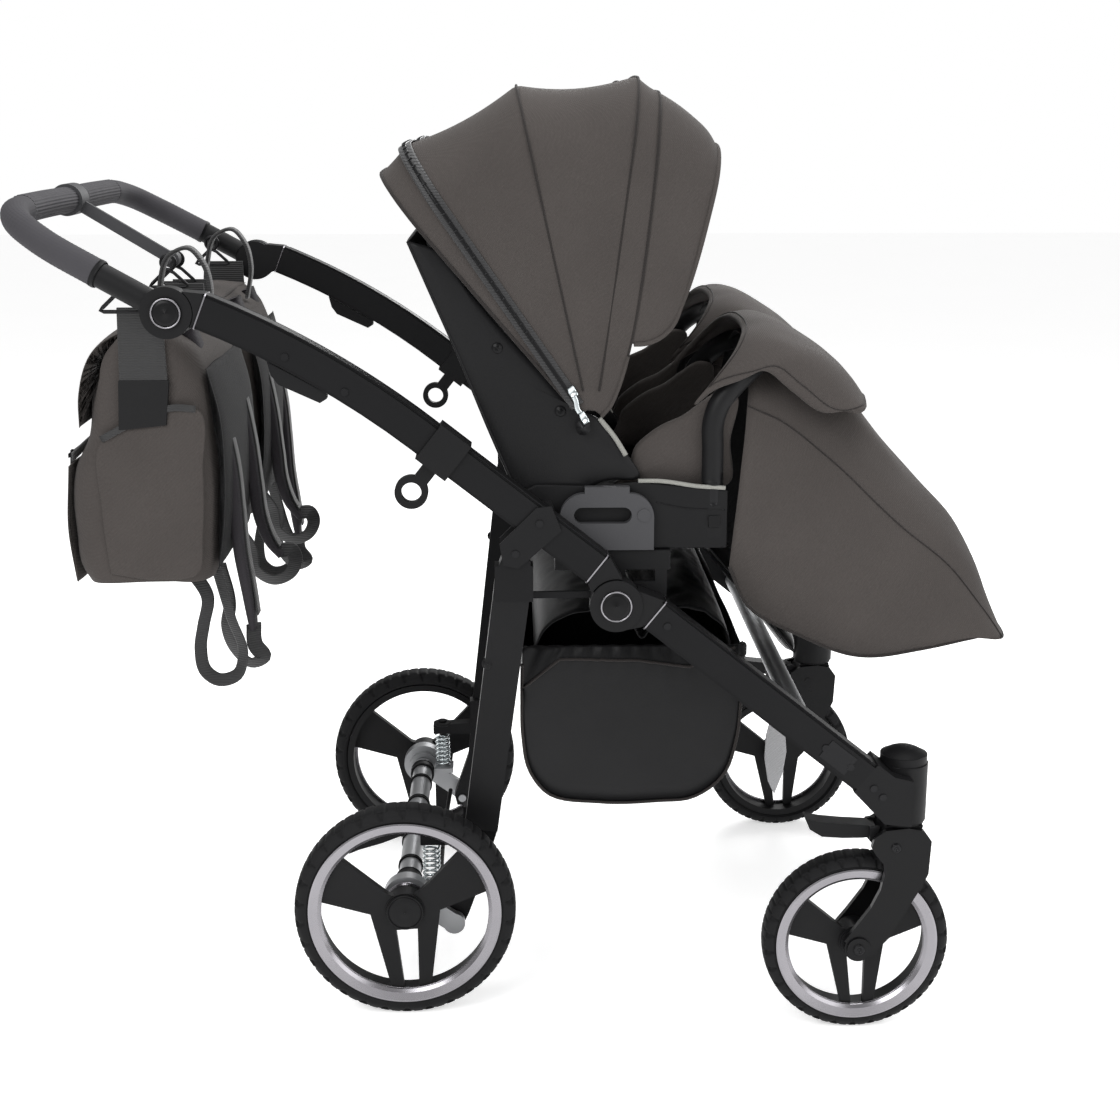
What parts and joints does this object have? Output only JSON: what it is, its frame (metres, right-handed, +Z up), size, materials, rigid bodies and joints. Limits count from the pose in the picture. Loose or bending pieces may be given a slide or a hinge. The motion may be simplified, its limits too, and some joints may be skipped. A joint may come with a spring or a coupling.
{
  "type": "baby stroller",
  "caption": "Side-by-side twin stroller on a folding tube frame, with reclining seats, folding canopies, leg covers, swivel front wheels, basket and backpacks.",
  "frame": {"origin": "middle of the footprint, on the floor", "axes": "+X forward, +Y to the pusher's left, +Z up"},
  "size_m": [1.249, 0.7738, 1.184],
  "materials": {
    "frame_black": "matte powder coat",
    "plastic_black": "fine moulded grain",
    "plastic_grey": "fine moulded grain",
    "bright_trim": "bright plated",
    "silver_tube": "satin anodised",
    "spring_steel": "zinc plated",
    "tyre_rubber": "fine tread",
    "grip_rubber": "ribbed",
    "leatherette": "fine grain",
    "fabric_grey": "fine weave",
    "fabric_black": "smooth weave",
    "screw_black": "black oxide"
  },
  "bodies": {
    "chassis": {"lower_tubes": "frame_black", "fold_hubs": "plastic_black", "swivel_housings": "plastic_black", "cross_tubes": "silver_tube", "seat_rails": "plastic_black", "adapter_pods": "plastic_grey", "basket": "fabric_black", "basket_cover": "fabric_grey", "seat_shells": "leatherette", "seat_pads": "fabric_grey", "bumper_bars": "leatherette", "frame_screws": "screw_black", "apron_right": "fabric_grey", "apron_left": "fabric_grey"},
    "upper_frame": {"upper_tubes": "frame_black", "handle_elbows": "plastic_black", "leg_clevises": "plastic_black", "catch_plates": "plastic_black", "upper_screws": "screw_black"},
    "handle": {"handle_bar": "plastic_black", "handle_grip": "grip_rubber", "handle_clamp": "plastic_grey"},
    "rear_frame": {"rear_legs": "frame_black", "leg_brackets": "frame_black", "rear_springs": "spring_steel"},
    "drag_link_pair": {"drag_links": "frame_black"},
    "rear_axle": {"axle_beam": "silver_tube"},
    "brake": {"brake_pedal": "plastic_black"},
    "tilt_button_right": {"tilt_button_right": "plastic_black"},
    "release_slider_right": {"release_slider_right": "plastic_black"},
    "rear_wheel_right": {"rear_tyre_right": "tyre_rubber", "rear_rim_right": "plastic_black", "rear_trim_right": "bright_trim"},
    "fork_right": {"fork_right": "plastic_black"},
    "fork_arm_right": {"fork_arm_right": "plastic_black"},
    "front_wheel_right": {"front_tyre_right": "tyre_rubber", "front_rim_right": "plastic_black", "front_trim_right": "bright_trim"},
    "swivel_lock_right": {"swivel_lock_right": "plastic_black"},
    "backrest_right": {"backrest_right": "leatherette", "canopy_back_right": "fabric_grey"},
    "canopy_right": {"canopy_front_right": "fabric_grey"},
    "legrest_right": {"legrest_right": "leatherette"},
    "bag_right": {"bag_right": "fabric_grey"},
    "tilt_button_left": {"tilt_button_left": "plastic_black"},
    "release_slider_left": {"release_slider_left": "plastic_black"},
    "rear_wheel_left": {"rear_tyre_left": "tyre_rubber", "rear_rim_left": "plastic_black", "rear_trim_left": "bright_trim"},
    "fork_left": {"fork_left": "plastic_black"},
    "fork_arm_left": {"fork_arm_left": "plastic_black"},
    "front_wheel_left": {"front_tyre_left": "tyre_rubber", "front_rim_left": "plastic_black", "front_trim_left": "bright_trim"},
    "swivel_lock_left": {"swivel_lock_left": "plastic_black"},
    "backrest_left": {"backrest_left": "leatherette", "canopy_back_left": "fabric_grey"},
    "canopy_left": {"canopy_front_left": "fabric_grey"},
    "legrest_left": {"legrest_left": "leatherette"},
    "bag_left": {"bag_left": "fabric_grey"}
  },
  "joints": [
    {"name": "fold_main", "type": "hinge", "parent": "chassis", "child": "upper_frame", "pos_m": [0.10625, 0, 0.582], "axis": [0, 1, 0], "range_deg": [0, 24]},
    {"name": "rear_leg_fold", "type": "hinge", "parent": "upper_frame", "child": "rear_frame", "pos_m": [-0.01475, 0, 0.648], "axis": [0, 1, 0], "range_deg": [-1, 6]},
    {"name": "drag_link_turn", "type": "hinge", "parent": "chassis", "child": "drag_link_pair", "pos_m": [0.13825, 0, 0.59], "axis": [0, 1, 0], "range_deg": [-1, 22]},
    {"name": "handle_tilt", "type": "hinge", "parent": "upper_frame", "child": "handle", "pos_m": [-0.41375, 0, 0.935], "axis": [0, 1, 0], "range_deg": [-35, 30]},
    {"name": "rear_suspension", "type": "hinge", "parent": "rear_frame", "child": "rear_axle", "pos_m": [-0.09975, 0, 0.1], "axis": [0, 1, 0], "range_deg": [0, 6], "stiffness_Nm_per_rad": 220, "springref_deg": -4.58, "deforming": ["rear_springs"]},
    {"name": "brake_press", "type": "hinge", "parent": "rear_axle", "child": "brake", "pos_m": [-0.16175, 0, 0.145], "axis": [0, 1, 0], "range_deg": [-14, 0]},
    {"name": "bag_right_hang", "type": "hinge", "parent": "handle", "child": "bag_right", "pos_m": [-0.47475, -0.18, 0.966], "axis": [0, 1, 0], "range_deg": [-31, 36]},
    {"name": "tilt_button_right_press", "type": "slide", "parent": "handle", "child": "tilt_button_right", "axis": [0, 1, 0], "range_m": [0, 0.003], "stiffness_N_per_m": 900, "springref_m": -0.001},
    {"name": "release_slider_right_pull", "type": "slide", "parent": "upper_frame", "child": "release_slider_right", "axis": [-0.7859, 0, 0.6184], "range_m": [0, 0.022], "stiffness_N_per_m": 400, "springref_m": -0.008},
    {"name": "rear_wheel_right_spin", "type": "hinge", "parent": "rear_axle", "child": "rear_wheel_right", "pos_m": [-0.16175, -0.284, 0.145], "axis": [0, 1, 0], "continuous": true},
    {"name": "front_swivel_right", "type": "hinge", "parent": "chassis", "child": "fork_right", "pos_m": [0.47425, -0.337, 0.288], "axis": [0, 0, 1], "continuous": true},
    {"name": "front_suspension_right", "type": "hinge", "parent": "fork_right", "child": "fork_arm_right", "pos_m": [0.46325, -0.337, 0.258], "axis": [0, 1, 0], "range_deg": [0, 6], "stiffness_Nm_per_rad": 90, "springref_deg": -4.58},
    {"name": "front_wheel_right_spin", "type": "hinge", "parent": "fork_arm_right", "child": "front_wheel_right", "pos_m": [0.42125, -0.337, 0.12], "axis": [0, 1, 0], "continuous": true},
    {"name": "swivel_lock_right_flip", "type": "hinge", "parent": "fork_right", "child": "swivel_lock_right", "pos_m": [0.43825, -0.337, 0.272], "axis": [0, 1, 0], "range_deg": [0, 14]},
    {"name": "seat_right_recline", "type": "hinge", "parent": "chassis", "child": "backrest_right", "pos_m": [0.01025, -0.18, 0.704], "axis": [0, 1, 0], "range_deg": [-18, 8]},
    {"name": "canopy_right_fold", "type": "hinge", "parent": "backrest_right", "child": "canopy_right", "pos_m": [0.07525, -0.18, 0.802], "axis": [0, 1, 0], "range_deg": [-32, 0]},
    {"name": "legrest_right_tilt", "type": "hinge", "parent": "chassis", "child": "legrest_right", "pos_m": [0.22325, -0.18, 0.639], "axis": [0, 1, 0], "range_deg": [-25, 8]},
    {"name": "bag_left_hang", "type": "hinge", "parent": "handle", "child": "bag_left", "pos_m": [-0.47475, 0.18, 0.966], "axis": [0, 1, 0], "range_deg": [-31, 36]},
    {"name": "tilt_button_left_press", "type": "slide", "parent": "handle", "child": "tilt_button_left", "axis": [0, -1, 0], "range_m": [0, 0.003], "stiffness_N_per_m": 900, "springref_m": -0.001},
    {"name": "release_slider_left_pull", "type": "slide", "parent": "upper_frame", "child": "release_slider_left", "axis": [-0.7859, 0, 0.6184], "range_m": [0, 0.022], "stiffness_N_per_m": 400, "springref_m": -0.008},
    {"name": "rear_wheel_left_spin", "type": "hinge", "parent": "rear_axle", "child": "rear_wheel_left", "pos_m": [-0.16175, 0.284, 0.145], "axis": [0, 1, 0], "continuous": true},
    {"name": "front_swivel_left", "type": "hinge", "parent": "chassis", "child": "fork_left", "pos_m": [0.47425, 0.337, 0.288], "axis": [0, 0, 1], "continuous": true},
    {"name": "front_suspension_left", "type": "hinge", "parent": "fork_left", "child": "fork_arm_left", "pos_m": [0.46325, 0.337, 0.258], "axis": [0, 1, 0], "range_deg": [0, 6], "stiffness_Nm_per_rad": 90, "springref_deg": -4.58},
    {"name": "front_wheel_left_spin", "type": "hinge", "parent": "fork_arm_left", "child": "front_wheel_left", "pos_m": [0.42125, 0.337, 0.12], "axis": [0, 1, 0], "continuous": true},
    {"name": "swivel_lock_left_flip", "type": "hinge", "parent": "fork_left", "child": "swivel_lock_left", "pos_m": [0.43825, 0.337, 0.272], "axis": [0, 1, 0], "range_deg": [0, 14]},
    {"name": "seat_left_recline", "type": "hinge", "parent": "chassis", "child": "backrest_left", "pos_m": [0.01025, 0.18, 0.704], "axis": [0, 1, 0], "range_deg": [-18, 8]},
    {"name": "canopy_left_fold", "type": "hinge", "parent": "backrest_left", "child": "canopy_left", "pos_m": [0.07525, 0.18, 0.802], "axis": [0, 1, 0], "range_deg": [-32, 0]},
    {"name": "legrest_left_tilt", "type": "hinge", "parent": "chassis", "child": "legrest_left", "pos_m": [0.22325, 0.18, 0.639], "axis": [0, 1, 0], "range_deg": [-25, 8]}
  ],
  "couplings": [
    {"joint": "rear_leg_fold", "follows": "fold_main", "ratio": 0.184},
    {"joint": "drag_link_turn", "follows": "fold_main", "ratio": 0.82},
    {"joint": "bag_right_hang", "follows": "handle_tilt", "ratio": -1},
    {"joint": "bag_left_hang", "follows": "handle_tilt", "ratio": -1}
  ]
}
